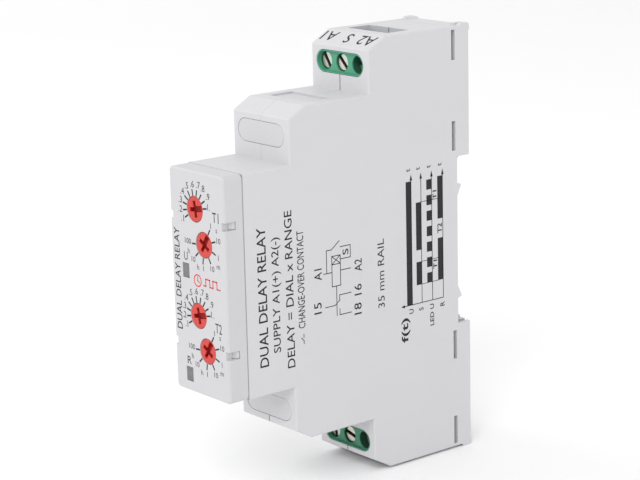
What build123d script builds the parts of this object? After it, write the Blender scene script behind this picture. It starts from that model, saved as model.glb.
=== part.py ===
"""DIN rail timer, one module wide, built as separate pieces.

Frame: millimetres, origin in the middle of the rail seat, front towards -Y,
+X to the right seen from the front, +Z up.
"""
from build123d import *
import os

os.makedirs("parts", exist_ok=True)

# ---------------------------------------------------------------- envelope
WIDTH = 17.6
HEIGHT = 91.0
DEPTH = 64.0
HALF_W = WIDTH / 2
SEAT_DEPTH = 3.6
FRONT_Y = SEAT_DEPTH - DEPTH
BACK_Y = SEAT_DEPTH
EAR_RISE = 0.4
EAR_START_Y = 1.0
EAR_SLOPE = 0.5
EAR_REACH = 2.9
TOP_Z = HEIGHT / 2 - EAR_RISE

# ---------------------------------------------------------------- stepped profile
FRONT_HALF = 22.5
CAP_DEPTH = 4.5
SEAM_Y = FRONT_Y + CAP_DEPTH
MID_Y = FRONT_Y + 16.1
MID_Z = 33.8
MID_CHAMFER_Y = 4.1
REAR_Y = FRONT_Y + 36.6
REAR_CHAMFER_Y = 4.5
CHAMFER_Z = 2.3
REAR_CHAMFER_Z = 2.5
WALL = 1.3
SIDE_WALL = 1.2
INNER_W = HALF_W - SIDE_WALL
EDGE_ROUND = 0.4
STEP_ROUND = 0.3
LINE_CHAMFER = 0.1
CAP_CORNER = 1.0

# ---------------------------------------------------------------- clearances
FIT_GAP = 0.1
RUN_GAP = 0.05
THIN_GAP = 0.05

# ---------------------------------------------------------------- rail end
RECESS_HALF = 18.0
RECESS_ROUND = 0.4
RAIL_FLANGE = 1.0
RAIL_HALF = 17.5
RAIL_INNER_HALF = 12.5
PARTITION_Y = -2.6
CHANNEL_Y = -1.5
NOSE_Z = RAIL_HALF - 1.2
SEAT_RELIEF_Z = NOSE_Z - 0.3
SEAT_RELIEF = 0.5
BUMP_OUT = RAIL_INNER_HALF - 0.1
BUMP_TIP = BUMP_OUT - 0.4
BUMP_IN = BUMP_OUT - 2.8
BUMP_RISE = 1.1
CATCH_TRAVEL = 4.4
CATCH_HALF_W = INNER_W - 0.15
CATCH_BACK_Y = BACK_Y - 0.5
LUG_L = 1.6
LUG_X = INNER_W + 0.4
GUIDE_SLOT_Y = CHANNEL_Y + 0.6
GUIDE_SLOT_W = 1.0
GUIDE_SLOT_L = LUG_L + CATCH_TRAVEL + 2 * FIT_GAP
GUIDE_SLOT_INNER = RECESS_HALF + 1.3
GUIDE_SLOT_OUTER = TOP_Z - 0.7 - GUIDE_SLOT_L
LUG_W = GUIDE_SLOT_W - 2 * FIT_GAP
NOSE_HALF_W = 6.0
CATCH_WINDOW_IN = 1.4
CATCH_WINDOW_W = 4.0
NOSE_FRONT_Y = RAIL_FLANGE + 0.2
CATCH_END_Z = RECESS_HALF - 0.35

# ---------------------------------------------------------------- openings in the steps
OVAL_W = 14.6
OVAL_H = 4.7
MID_OVAL_DOWN = 5.9
REAR_OVAL_DOWN = 5.8
OVAL_GAP = 0.1
MID_OVAL_Z = MID_Z - MID_OVAL_DOWN
REAR_OVAL_Z = TOP_Z - REAR_OVAL_DOWN
WIRE_HALF_W = 6.1
WIRE_L = 5.85
WIRE_SETBACK = 2.9
BLANK_SINK = 0.35

# ---------------------------------------------------------------- terminals
PITCH = 5.0
BLOCK_HALF_W = INNER_W - FIT_GAP
BLOCK_TOP_Z = TOP_Z - WALL - 0.15
BLOCK_LOW_Z = REAR_OVAL_Z - 4.2
BLOCK_FRONT_Y = REAR_Y + WALL + THIN_GAP
BLOCK_SLOPE_Y = 3.5
BLOCK_SLOPE_Z = 1.8
FACE_SINK = 0.05
BLOCK_RIM = 0.2
BLOCK_FACE_Y = REAR_Y + 0.65
SCREW_HEAD_R = 1.75
SCREW_HEAD_T = 1.4
HEAD_SINKS = (0.45, 0.45, 1.7)
SCREW_R = 1.25
SCREW_SLOT_W = 0.85
SCREW_SLOT_D = 0.8
WELL_R = SCREW_HEAD_R + FIT_GAP
SCREW_HEAD_YS = [BLOCK_FACE_Y + sink for sink in HEAD_SINKS]
WELL_FLOOR_YS = [y + SCREW_HEAD_T + FIT_GAP for y in SCREW_HEAD_YS]
SHANK_HOLE_R = SCREW_R + 0.15
POCKET_W = 4.1
POCKET_FRONT_Y = max(WELL_FLOOR_YS) + 0.6
POCKET_TOP_Z = BLOCK_TOP_Z - 1.15
CAGE_W = POCKET_W - 2 * FIT_GAP
CAGE_SIDE = 0.5
CAGE_TRAVEL = 1.8
CAGE_FRONT_T = 1.2
CAGE_BACK_T = 0.7
CAGE_OPEN_Y = POCKET_FRONT_Y + CAGE_TRAVEL + FIT_GAP
CAGE_HIGH_Z = POCKET_TOP_Z - 0.2
CAGE_LOW_Z = CAGE_HIGH_Z - 5.3
BAR_T = 0.8
BAR_Y = CAGE_OPEN_Y + CAGE_FRONT_T + 0.8 + BAR_T / 2
BAR_W = CAGE_W - 2 * CAGE_SIDE - 0.3
BAR_TOP_Z = POCKET_TOP_Z + 0.4
SCREW_TIP_Y = BAR_Y - BAR_T / 2 - 0.15
WIRE_ROOM = 3.6
CAGE_BACK_IN_Y = BAR_Y + BAR_T / 2 + WIRE_ROOM
POCKET_BACK_Y = CAGE_BACK_IN_Y + CAGE_BACK_T + 0.3
BLOCK_BACK_Y = POCKET_BACK_Y + 1.6
WIRE_HOLE_X = 3.4
WIRE_HOLE_Y0 = BAR_Y + BAR_T / 2 + FIT_GAP
WIRE_HOLE_Y1 = CAGE_BACK_IN_Y - FIT_GAP
TAIL_W = 1.2
TAIL_SHIFT = 0.48
BOARD_TOP_Z = MID_Z - 2.3
TAIL_ENDS = (BOARD_TOP_Z - 2.0, BOARD_TOP_Z - 4.5, BOARD_TOP_Z - 7.0)
SLOT_ANGLES_TOP = (-56.0, -46.0, -5.0)
SLOT_ANGLES_BOTTOM = (-84.0, -14.0, -50.0)

# ---------------------------------------------------------------- dials
KNOB_R = 2.55
KNOB_HOLE_R = KNOB_R + 0.08
KNOB_T = 1.9
KNOB_FLANGE_R = KNOB_R + 0.45
KNOB_FLANGE_T = 0.6
STEM_R = 1.2
FRONT_BOARD_Y = FRONT_Y + 8.4
FRONT_BOARD_T = 1.2
TRIMMER_SIZE = 6.0
TRIMMER_FRONT_Y = FRONT_BOARD_Y - 3.4
STEM_END_Y = TRIMMER_FRONT_Y + 1.5
DIAL_PITCH = TRIMMER_SIZE + 0.7
T1_Z = 11.6
T2_Z = -9.75
FINE_X = -0.65
RANGE_X = 1.95
FINE_POINTER = 10.0
RANGE_POINTER = 58.0
DIALS = {
    "t1_fine": (FINE_X, T1_Z + DIAL_PITCH / 2, FINE_POINTER),
    "t1_range": (RANGE_X, T1_Z - DIAL_PITCH / 2, RANGE_POINTER),
    "t2_fine": (FINE_X, T2_Z + DIAL_PITCH / 2, FINE_POINTER),
    "t2_range": (RANGE_X, T2_Z - DIAL_PITCH / 2, RANGE_POINTER),
}
CROSS_ARM = KNOB_R - 0.9
CROSS_W = 0.85
CROSS_DEPTH = 0.9
POINTER_REACH = KNOB_R - 0.3
POINTER_W = 1.25

# ---------------------------------------------------------------- light windows
LIGHT_X = -4.3
LIGHT_Z = {"u": 2.2, "r": -19.0}
LIGHT_W = 2.2
LIGHT_H = 3.0

# ---------------------------------------------------------------- cap and its latches
CAP_FRONT_T = 1.4
CAP_SIDE_T = 0.9
CAP_END_T = 1.2
LATCH_Z = 12.8
LATCH_WINDOW_H = 1.65
LATCH_WINDOW_D = 2.7
LATCH_H = 1.5

# ---------------------------------------------------------------- boards
BOARD_T = 1.6
BOARD_PAD = 0.6
BOARD_X0 = -INNER_W + BOARD_PAD
BOARD_X1 = BOARD_X0 + BOARD_T
BOARD_FRONT_Y = FRONT_BOARD_Y + FRONT_BOARD_T + 1.3
BOARD_BACK_Y = PARTITION_Y - 1.4
FRONT_BOARD_HALF_W = INNER_W - 0.4
FRONT_BOARD_HALF_H = FRONT_HALF - WALL - 0.4
LEDGE_Y = FRONT_BOARD_Y + FRONT_BOARD_T + FIT_GAP
LEDGE_T = 0.8
PIN = 0.64
PIN_COUNT = 8
PIN_PITCH = 2.54
HEADER_X = BOARD_X1 + PIN / 2
POST_FRONT_Y = SEAM_Y + 9.4
POST_FRONT_Z = FRONT_HALF - 4.1
POST_REAR_Y = PARTITION_Y - 3.7
POST_REAR_Z = TOP_Z - 5.3
POSTS = (
    (POST_FRONT_Y, POST_FRONT_Z),
    (POST_FRONT_Y, -POST_FRONT_Z),
    (POST_REAR_Y, POST_REAR_Z),
    (POST_REAR_Y, -POST_REAR_Z),
)
POST_R = 1.9
PEG_R = 1.0
PEG_L = 2.0

# ---------------------------------------------------------------- relay
RELAY_Y0 = -14.5
RELAY_Y1 = -4.5
RELAY_Z0 = -14.5
RELAY_Z1 = 14.0
RELAY_X1 = BOARD_X1 + 12.3
RELAY_BASE_T = 1.2
RELAY_WALL = 0.6
RELAY_MID_Y = (RELAY_Y0 + RELAY_Y1) / 2
COIL_X = BOARD_X1 + 5.2
CONTACT_Z = 10.4
ARMATURE_PIVOT_Z = 3.9
ARMATURE_PIVOT_R = 0.28
CONTACT_R = 1.0


def front_plane(y):
    """Plane facing the front at depth y; sketch axes are X and Z."""
    return Plane.XZ.offset(-y)


def save(part, label):
    part.label = label
    export_step(part, "parts/" + label + ".step")


def block(x0, x1, y0, y1, z0, z1, mode=Mode.ADD):
    """Box between two corners, inside the open part."""
    with Locations(((x0 + x1) / 2, (y0 + y1) / 2, (z0 + z1) / 2)):
        Box(abs(x1 - x0), abs(y1 - y0), abs(z1 - z0), mode=mode)


def rod_y(x, z, y0, y1, radius, mode=Mode.ADD):
    """Cylinder along Y from y0 to y1."""
    with Locations(Location((x, (y0 + y1) / 2, z), (90, 0, 0))):
        Cylinder(radius, abs(y1 - y0), mode=mode)


def rod_x(y, z, x0, x1, radius, mode=Mode.ADD):
    """Cylinder along X from x0 to x1."""
    with Locations(Location(((x0 + x1) / 2, y, z), (0, 90, 0))):
        Cylinder(radius, abs(x1 - x0), mode=mode)


def rod_z(x, y, z0, z1, radius, mode=Mode.ADD):
    """Cylinder along Z from z0 to z1."""
    with Locations((x, y, (z0 + z1) / 2)):
        Cylinder(radius, abs(z1 - z0), mode=mode)


# ================================================================ housing
upper = [
    (SEAM_Y, FRONT_HALF),
    (MID_Y, FRONT_HALF),
    (MID_Y, MID_Z - CHAMFER_Z),
    (MID_Y + MID_CHAMFER_Y, MID_Z),
    (REAR_Y, MID_Z),
    (REAR_Y, TOP_Z - REAR_CHAMFER_Z),
    (REAR_Y + REAR_CHAMFER_Y, TOP_Z),
    (BACK_Y, TOP_Z),
]
lower = [(y, -z) for y, z in reversed(upper)]

with BuildSketch(Plane.YZ) as housing_outline:
    with BuildLine():
        Polyline(*upper, *lower, close=True)
    make_face()

with BuildSketch(Plane.YZ) as cavity_outline:
    add(housing_outline.sketch_local)
    offset(amount=-WALL, kind=Kind.INTERSECTION, mode=Mode.REPLACE)
    with Locations(((SEAM_Y + PARTITION_Y) / 2, 0)):
        Rectangle(PARTITION_Y - SEAM_Y, HEIGHT, mode=Mode.INTERSECT)
    with Locations((SEAM_Y, 0)):
        Rectangle(4 * WALL, 2 * (FRONT_HALF - WALL))

with BuildSketch(Plane.YZ) as recess_outline:
    with Locations((BACK_Y, 0)):
        Rectangle(2 * SEAT_DEPTH, 2 * RECESS_HALF)
    fillet(recess_outline.vertices().group_by(Axis.Y)[0], RECESS_ROUND)

with BuildSketch(Plane.YZ.offset(INNER_W)) as ear_outline:
    for side in (1, -1):
        with BuildLine():
            Polyline(
                (EAR_START_Y, side * (TOP_Z - 1)),
                (EAR_START_Y, side * TOP_Z),
                (EAR_START_Y + EAR_SLOPE, side * (TOP_Z + EAR_RISE)),
                (BACK_Y - 0.3, side * (TOP_Z + EAR_RISE)),
                (BACK_Y, side * TOP_Z),
                (BACK_Y, side * (TOP_Z - 1)),
                close=True,
            )
        make_face()

with BuildSketch(Plane.YZ.offset(INNER_W)) as bump_outline:
    for side in (1, -1):
        with BuildLine():
            Polyline(
                (-0.5, side * BUMP_OUT),
                (0, side * BUMP_OUT),
                (BUMP_RISE, side * BUMP_TIP),
                (0, side * BUMP_IN),
                (-0.5, side * BUMP_IN),
                close=True,
            )
        make_face()

with BuildSketch(Plane.XY) as latch_nose:
    with BuildLine():
        Polyline(
            (INNER_W - 0.8, SEAM_Y + 3.0),
            (INNER_W + 0.1, SEAM_Y + 3.0),
            (INNER_W + 0.1, SEAM_Y),
            (HALF_W - CAP_SIDE_T - FIT_GAP, SEAM_Y),
            (HALF_W - CAP_SIDE_T - FIT_GAP, FRONT_Y + LATCH_WINDOW_D - FIT_GAP),
            (HALF_W - 0.25, FRONT_Y + LATCH_WINDOW_D - FIT_GAP),
            (HALF_W - CAP_SIDE_T - FIT_GAP, FRONT_Y + CAP_FRONT_T + FIT_GAP),
            (INNER_W - 0.8, FRONT_Y + CAP_FRONT_T + FIT_GAP),
            close=True,
        )
    make_face()


INWARD_CORNERS = ((round(MID_Y, 2), round(FRONT_HALF, 2)), (round(REAR_Y, 2), round(MID_Z, 2)))


def step_corner(edge):
    """Place of an edge along X in the stepped profile, the same for top and bottom."""
    centre = edge.center()
    return round(centre.Y, 2), round(abs(centre.Z), 2)


def half_shell(with_pegs):
    """Right half of the housing, from the parting plane X = 0 outwards."""
    with BuildPart() as shell:
        extrude(housing_outline.sketch, amount=HALF_W)
        steps = shell.edges().filter_by(Axis.X).filter_by_position(Axis.Y, SEAM_Y + 1, BACK_Y - 1)
        outward = [edge for edge in steps if step_corner(edge) not in INWARD_CORNERS]
        fillet(outward, STEP_ROUND)
        outer_edges = shell.faces().sort_by(Axis.X)[-1].edges()
        fillet(outer_edges.filter_by_position(Axis.Y, SEAM_Y + 0.1, BACK_Y + 1), EDGE_ROUND)
        seam_edges = shell.faces().filter_by(Axis.Y).sort_by(Axis.Y)[0].edges().filter_by(Axis.Z)
        chamfer(seam_edges.sort_by(Axis.X)[-1], LINE_CHAMFER)
        parting = shell.faces().filter_by(Axis.X).sort_by(Axis.X)[0].edges()
        chamfer(parting, LINE_CHAMFER)
        extrude(cavity_outline.sketch, amount=INNER_W, mode=Mode.SUBTRACT)
        extrude(recess_outline.sketch, amount=HALF_W, mode=Mode.SUBTRACT)
        extrude(ear_outline.sketch, amount=SIDE_WALL)
        extrude(bump_outline.sketch, amount=SIDE_WALL)
        for side in (1, -1):
            block(-1, INNER_W, CHANNEL_Y, BACK_Y + 1, side * RECESS_HALF, side * HEIGHT, Mode.SUBTRACT)
            block(-1, INNER_W, -SEAT_RELIEF, 1, side * SEAT_RELIEF_Z, side * HEIGHT, Mode.SUBTRACT)
            for start in (GUIDE_SLOT_INNER, GUIDE_SLOT_OUTER):
                y0 = GUIDE_SLOT_Y - GUIDE_SLOT_W / 2
                y1 = GUIDE_SLOT_Y + GUIDE_SLOT_W / 2
                z0 = side * start
                z1 = side * (start + GUIDE_SLOT_L)
                block(INNER_W - 1, HALF_W + 1, y0, y1, z0, z1, Mode.SUBTRACT)
            for face_y, centre in ((MID_Y, MID_OVAL_Z), (REAR_Y, REAR_OVAL_Z)):
                with BuildSketch(front_plane(face_y - 1)):
                    with Locations((0, side * centre)):
                        SlotOverall(OVAL_W, OVAL_H)
                extrude(amount=-(WALL + 1.5), mode=Mode.SUBTRACT)
            for edge_y, top in ((MID_Y + MID_CHAMFER_Y, MID_Z), (REAR_Y + REAR_CHAMFER_Y, TOP_Z)):
                y0 = edge_y + WIRE_SETBACK
                z0 = side * (top - WALL - 0.5)
                z1 = side * (top + 1)
                block(-1, WIRE_HALF_W, y0, y0 + WIRE_L, z0, z1, Mode.SUBTRACT)
            with BuildSketch(Plane.XY.offset(side * LATCH_Z - LATCH_H / 2)):
                add(latch_nose.sketch_local)
            extrude(amount=LATCH_H)
        # ledges behind the front board
        ledge_half = FRONT_BOARD_HALF_H - 1.8
        block(INNER_W - 1.0, INNER_W + 0.1, LEDGE_Y, LEDGE_Y + LEDGE_T, -ledge_half, ledge_half)
        for y, z in POSTS:
            rod_x(y, z, 0, INNER_W + 0.1, POST_R)
            if with_pegs:
                rod_x(y, z, -PEG_L, 0, PEG_R)
            else:
                rod_x(y, z, -0.1, PEG_L + 0.2, PEG_R + RUN_GAP, Mode.SUBTRACT)
        if not with_pegs:
            # pads that carry the main board
            for y, z in ((-40.0, 12.0), (-40.0, -12.0), (-9.0, 26.0), (-9.0, -26.0)):
                block(-BOARD_X0, INNER_W + 0.1, y - 1.5, y + 1.5, z - 1.5, z + 1.5)
    return shell.part


save(half_shell(True), "housing_right")
save(mirror(half_shell(False), about=Plane.YZ), "housing_left")

# ================================================================ front cap
with BuildPart() as front_cap:
    with BuildSketch(front_plane(SEAM_Y)):
        Rectangle(WIDTH, 2 * FRONT_HALF)
        fillet(vertices(), CAP_CORNER)
    extrude(amount=CAP_DEPTH)
    fillet(front_cap.faces().sort_by(Axis.Y)[0].edges(), EDGE_ROUND)
    chamfer(front_cap.faces().sort_by(Axis.Y)[-1].edges(), LINE_CHAMFER)
    block(
        -HALF_W + CAP_SIDE_T, HALF_W - CAP_SIDE_T,
        FRONT_Y + CAP_FRONT_T, SEAM_Y + 1,
        -FRONT_HALF + CAP_END_T, FRONT_HALF - CAP_END_T, Mode.SUBTRACT,
    )
    for x, z, _ in DIALS.values():
        rod_y(x, z, FRONT_Y - 1, FRONT_Y + CAP_FRONT_T + 1, KNOB_HOLE_R, Mode.SUBTRACT)
    for z in LIGHT_Z.values():
        block(
            LIGHT_X - LIGHT_W / 2, LIGHT_X + LIGHT_W / 2,
            FRONT_Y - 1, FRONT_Y + CAP_FRONT_T + 1,
            z - LIGHT_H / 2, z + LIGHT_H / 2, Mode.SUBTRACT,
        )
    for side in (1, -1):
        for z in (LATCH_Z, -LATCH_Z):
            block(
                side * (HALF_W - CAP_SIDE_T), side * (HALF_W + 1),
                FRONT_Y - 1, FRONT_Y + LATCH_WINDOW_D,
                z - LATCH_WINDOW_H / 2, z + LATCH_WINDOW_H / 2, Mode.SUBTRACT,
            )
save(front_cap.part, "front_cap")

# ================================================================ light windows
for name, z in LIGHT_Z.items():
    with BuildPart() as window:
        block(
            LIGHT_X - LIGHT_W / 2 + FIT_GAP / 2, LIGHT_X + LIGHT_W / 2 - FIT_GAP / 2,
            FRONT_Y + 0.1, FRONT_Y + CAP_FRONT_T + 0.6,
            z - LIGHT_H / 2 + FIT_GAP / 2, z + LIGHT_H / 2 - FIT_GAP / 2,
        )
        fillet(window.faces().sort_by(Axis.Y)[0].edges(), 0.15)
        block(
            LIGHT_X - 1.6, LIGHT_X + 1.6,
            FRONT_Y + CAP_FRONT_T, FRONT_Y + CAP_FRONT_T + 0.6,
            z - 2.0, z + 2.0,
        )
        y0 = FRONT_Y + CAP_FRONT_T + 0.6
        block(LIGHT_X - 0.9, LIGHT_X + 0.9, y0, FRONT_BOARD_Y - 1.4, z - 1.2, z + 1.2)
    save(window.part, "window_" + name)

# ================================================================ adjuster knobs
for name, (x, z, angle) in DIALS.items():
    with BuildPart() as knob:
        rod_y(x, z, FRONT_Y + 0.05, FRONT_Y + KNOB_T, KNOB_R)
        fillet(knob.faces().sort_by(Axis.Y)[0].edges(), 0.2)
        y0 = FRONT_Y + CAP_FRONT_T + FIT_GAP
        rod_y(x, z, y0, y0 + KNOB_FLANGE_T, KNOB_FLANGE_R)
        rod_y(x, z, FRONT_Y + KNOB_T - 0.1, STEM_END_Y, STEM_R)
        with BuildSketch(front_plane(FRONT_Y - 1)) as cross:
            with Locations(Location((x, z), angle)):
                Rectangle(2 * CROSS_ARM, CROSS_W)
                Rectangle(CROSS_W, 2 * CROSS_ARM)
                Rectangle(POINTER_REACH, POINTER_W, align=(Align.MIN, Align.CENTER))
        extrude(amount=-(1 + CROSS_DEPTH), mode=Mode.SUBTRACT)
    save(knob.part, "knob_" + name)

    with BuildPart() as trimmer:
        half = TRIMMER_SIZE / 2
        block(x - half, x + half, TRIMMER_FRONT_Y, FRONT_BOARD_Y, z - half, z + half)
        fillet(trimmer.edges().filter_by(Axis.Y), 0.5)
        rod_y(x, z, TRIMMER_FRONT_Y - 1, STEM_END_Y + 0.2, STEM_R + RUN_GAP, Mode.SUBTRACT)
    save(trimmer.part, "trimmer_" + name)

# ================================================================ blanking inserts
INSERT_HALF_W = INNER_W - 0.3
INSERT_T = 1.0
INSERT_Y = MID_Y + WALL + THIN_GAP
INSERT_Z = MID_Z - WALL - FIT_GAP
WIRE_BLANK_Y = MID_Y + MID_CHAMFER_Y + WIRE_SETBACK
INSERT_END_Y = WIRE_BLANK_Y + WIRE_L + 0.7

with BuildSketch(Plane.YZ.offset(-INSERT_HALF_W)) as insert_outline:
    with BuildLine():
        Polyline(
            (INSERT_Y, MID_OVAL_Z - 3.3),
            (INSERT_Y, INSERT_Z - 1.8),
            (INSERT_Y + 3.15, INSERT_Z),
            (INSERT_END_Y, INSERT_Z),
            (INSERT_END_Y, INSERT_Z - INSERT_T),
            (INSERT_Y + 3.55, INSERT_Z - INSERT_T),
            (INSERT_Y + INSERT_T, INSERT_Z - 2.4),
            (INSERT_Y + INSERT_T, MID_OVAL_Z - 3.3),
            close=True,
        )
    make_face()

with BuildPart() as insert:
    extrude(insert_outline.sketch, amount=2 * INSERT_HALF_W)
    with BuildSketch(front_plane(MID_Y + FACE_SINK)):
        with Locations((0, MID_OVAL_Z)):
            SlotOverall(OVAL_W - 2 * OVAL_GAP, OVAL_H - 2 * OVAL_GAP)
    extrude(amount=-(WALL + 0.1))
    block(
        -WIRE_HALF_W + OVAL_GAP, WIRE_HALF_W - OVAL_GAP,
        WIRE_BLANK_Y + OVAL_GAP, WIRE_BLANK_Y + WIRE_L - OVAL_GAP,
        INSERT_Z - 0.1, MID_Z - BLANK_SINK,
    )
save(insert.part, "blank_insert_top")
save(mirror(insert.part, about=Plane.XY), "blank_insert_bottom")

# ================================================================ terminal blocks
POLES = (-PITCH, 0.0, PITCH)

with BuildSketch(Plane.YZ.offset(-BLOCK_HALF_W)) as block_outline:
    with BuildLine():
        Polyline(
            (BLOCK_FRONT_Y, BLOCK_LOW_Z),
            (BLOCK_FRONT_Y, BLOCK_TOP_Z - BLOCK_SLOPE_Z),
            (BLOCK_FRONT_Y + BLOCK_SLOPE_Y, BLOCK_TOP_Z),
            (BLOCK_BACK_Y, BLOCK_TOP_Z),
            (BLOCK_BACK_Y, BLOCK_LOW_Z),
            close=True,
        )
    make_face()

with BuildPart() as terminal_block:
    extrude(block_outline.sketch, amount=2 * BLOCK_HALF_W)
    with BuildSketch(front_plane(REAR_Y + FACE_SINK)):
        with Locations((0, REAR_OVAL_Z)):
            SlotOverall(OVAL_W - 2 * OVAL_GAP, OVAL_H - 2 * OVAL_GAP)
    extrude(amount=-(WALL + 0.2))
    inset = 2 * (OVAL_GAP + BLOCK_RIM)
    with BuildSketch(front_plane(REAR_Y - 1)):
        with Locations((0, REAR_OVAL_Z)):
            SlotOverall(OVAL_W - inset, OVAL_H - inset)
    extrude(amount=-(1 + BLOCK_FACE_Y - REAR_Y), mode=Mode.SUBTRACT)
    for x, floor_y in zip(POLES, WELL_FLOOR_YS):
        rod_y(x, REAR_OVAL_Z, REAR_Y - 1, floor_y, WELL_R, Mode.SUBTRACT)
        rod_y(x, REAR_OVAL_Z, floor_y - 1, POCKET_FRONT_Y + 1, SHANK_HOLE_R, Mode.SUBTRACT)
        block(
            x - POCKET_W / 2, x + POCKET_W / 2,
            POCKET_FRONT_Y, POCKET_BACK_Y, BLOCK_LOW_Z - 1, POCKET_TOP_Z, Mode.SUBTRACT,
        )
        block(
            x - WIRE_HOLE_X / 2, x + WIRE_HOLE_X / 2,
            WIRE_HOLE_Y0, WIRE_HOLE_Y1, POCKET_TOP_Z - 1, BLOCK_TOP_Z + 1, Mode.SUBTRACT,
        )
        block(
            x - BAR_W / 2 - FIT_GAP, x + BAR_W / 2 + FIT_GAP,
            BAR_Y - BAR_T / 2 - RUN_GAP, BAR_Y + BAR_T / 2 + RUN_GAP,
            POCKET_TOP_Z - 1, BAR_TOP_Z + RUN_GAP, Mode.SUBTRACT,
        )
save(terminal_block.part, "terminal_block_top")
save(mirror(terminal_block.part, about=Plane.XY), "terminal_block_bottom")

# ================================================================ screws, cages, bars
for index, x in enumerate(POLES):
    number = str(index + 1)

    with BuildPart() as cage:
        block(
            x - CAGE_W / 2, x + CAGE_W / 2,
            CAGE_OPEN_Y, CAGE_BACK_IN_Y + CAGE_BACK_T, CAGE_LOW_Z, CAGE_HIGH_Z,
        )
        fillet(cage.edges().filter_by(Axis.Z), 0.3)
        block(
            x - CAGE_W / 2 + CAGE_SIDE, x + CAGE_W / 2 - CAGE_SIDE,
            CAGE_OPEN_Y + CAGE_FRONT_T, CAGE_BACK_IN_Y, CAGE_LOW_Z - 1, CAGE_HIGH_Z + 1, Mode.SUBTRACT,
        )
        y1 = CAGE_OPEN_Y + CAGE_FRONT_T + 0.5
        rod_y(x, REAR_OVAL_Z, CAGE_OPEN_Y - 1, y1, SCREW_R + RUN_GAP, Mode.SUBTRACT)
    save(cage.part, "cage_top_" + number)
    save(mirror(cage.part, about=Plane.XY), "cage_bottom_" + number)

    tail_x = x + TAIL_SHIFT
    with BuildPart() as bar:
        block(
            x - BAR_W / 2, x + BAR_W / 2,
            BAR_Y - BAR_T / 2, BAR_Y + BAR_T / 2, CAGE_LOW_Z - 1.6, BAR_TOP_Z,
        )
        block(
            tail_x - TAIL_W / 2, tail_x + TAIL_W / 2,
            BAR_Y - BAR_T / 2, BAR_Y + BAR_T / 2, TAIL_ENDS[index], CAGE_LOW_Z - 1.5,
        )
        block(
            BOARD_X0 - 0.4, tail_x + TAIL_W / 2,
            BAR_Y - BAR_T / 2, BAR_Y + BAR_T / 2, TAIL_ENDS[index], TAIL_ENDS[index] + TAIL_W,
        )
    save(bar.part, "bar_top_" + number)
    save(mirror(bar.part, about=Plane.XY), "bar_bottom_" + number)

    head_y = SCREW_HEAD_YS[index]
    for end, side, angles in (("top", 1, SLOT_ANGLES_TOP), ("bottom", -1, SLOT_ANGLES_BOTTOM)):
        with BuildPart() as screw:
            rod_y(x, side * REAR_OVAL_Z, head_y, head_y + SCREW_HEAD_T, SCREW_HEAD_R)
            fillet(screw.faces().sort_by(Axis.Y)[0].edges(), 0.2)
            rod_y(x, side * REAR_OVAL_Z, head_y + 0.5, SCREW_TIP_Y, SCREW_R)
            chamfer(screw.faces().sort_by(Axis.Y)[-1].edges(), 0.25)
            with BuildSketch(front_plane(head_y - 0.5)):
                with Locations(Location((x, side * REAR_OVAL_Z), angles[index])):
                    Rectangle(3 * SCREW_HEAD_R, SCREW_SLOT_W)
            extrude(amount=-(0.5 + SCREW_SLOT_D), mode=Mode.SUBTRACT)
        save(screw.part, "screw_" + end + "_" + number)

# ================================================================ rail catches
with BuildPart() as catch:
    block(-CATCH_HALF_W, CATCH_HALF_W, 0.05, CATCH_BACK_Y, CATCH_END_Z, TOP_Z)
    block(-CATCH_HALF_W, CATCH_HALF_W, CHANNEL_Y + FIT_GAP, 0.1, RECESS_HALF + 0.2, TOP_Z)
    block(-NOSE_HALF_W, NOSE_HALF_W, NOSE_FRONT_Y, CATCH_BACK_Y, NOSE_Z, CATCH_END_Z + 0.1)
    nose_edge = catch.edges().filter_by(Axis.X).group_by(Axis.Z)[0].sort_by(Axis.Y)[-1]
    chamfer(nose_edge, 1.0)
    # weight-saving windows and the tongue between them
    for side in (1, -1):
        x0 = side * CATCH_WINDOW_IN
        x1 = side * (CATCH_WINDOW_IN + CATCH_WINDOW_W)
        block(x0, x1, CHANNEL_Y - 1, CATCH_BACK_Y + 1, RECESS_HALF + 4, TOP_Z - 6.7, Mode.SUBTRACT)
    # pocket in the back face for the tip of a flat screwdriver
    block(-2.2, 2.2, 1.6, CATCH_BACK_Y + 1, TOP_Z - 3.5, TOP_Z - 1.3, Mode.SUBTRACT)
    # low ridges in line with the ears of the case
    with BuildSketch(Plane.XZ.offset(-CATCH_BACK_Y)):
        for side in (1, -1):
            with BuildLine():
                Polyline(
                    (side * (HALF_W - EAR_REACH), TOP_Z - 0.5),
                    (side * (HALF_W - EAR_REACH), TOP_Z),
                    (side * (HALF_W - EAR_REACH + EAR_SLOPE), TOP_Z + EAR_RISE),
                    (side * CATCH_HALF_W, TOP_Z + EAR_RISE),
                    (side * CATCH_HALF_W, TOP_Z - 0.5),
                    close=True,
                )
            make_face()
    extrude(amount=CATCH_BACK_Y - EAR_START_Y)
    for side in (1, -1):
        for start in (GUIDE_SLOT_INNER, GUIDE_SLOT_OUTER):
            z0 = start + FIT_GAP
            block(
                side * (CATCH_HALF_W - 0.2), side * LUG_X,
                GUIDE_SLOT_Y - LUG_W / 2, GUIDE_SLOT_Y + LUG_W / 2, z0, z0 + LUG_L,
            )
save(catch.part, "catch_top")
save(mirror(catch.part, about=Plane.XY), "catch_bottom")

# ================================================================ boards and header
PIN_END_Y = BOARD_FRONT_Y + 3.5
PIN_ROW = [(i - (PIN_COUNT - 1) / 2) * PIN_PITCH for i in range(PIN_COUNT)]

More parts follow.
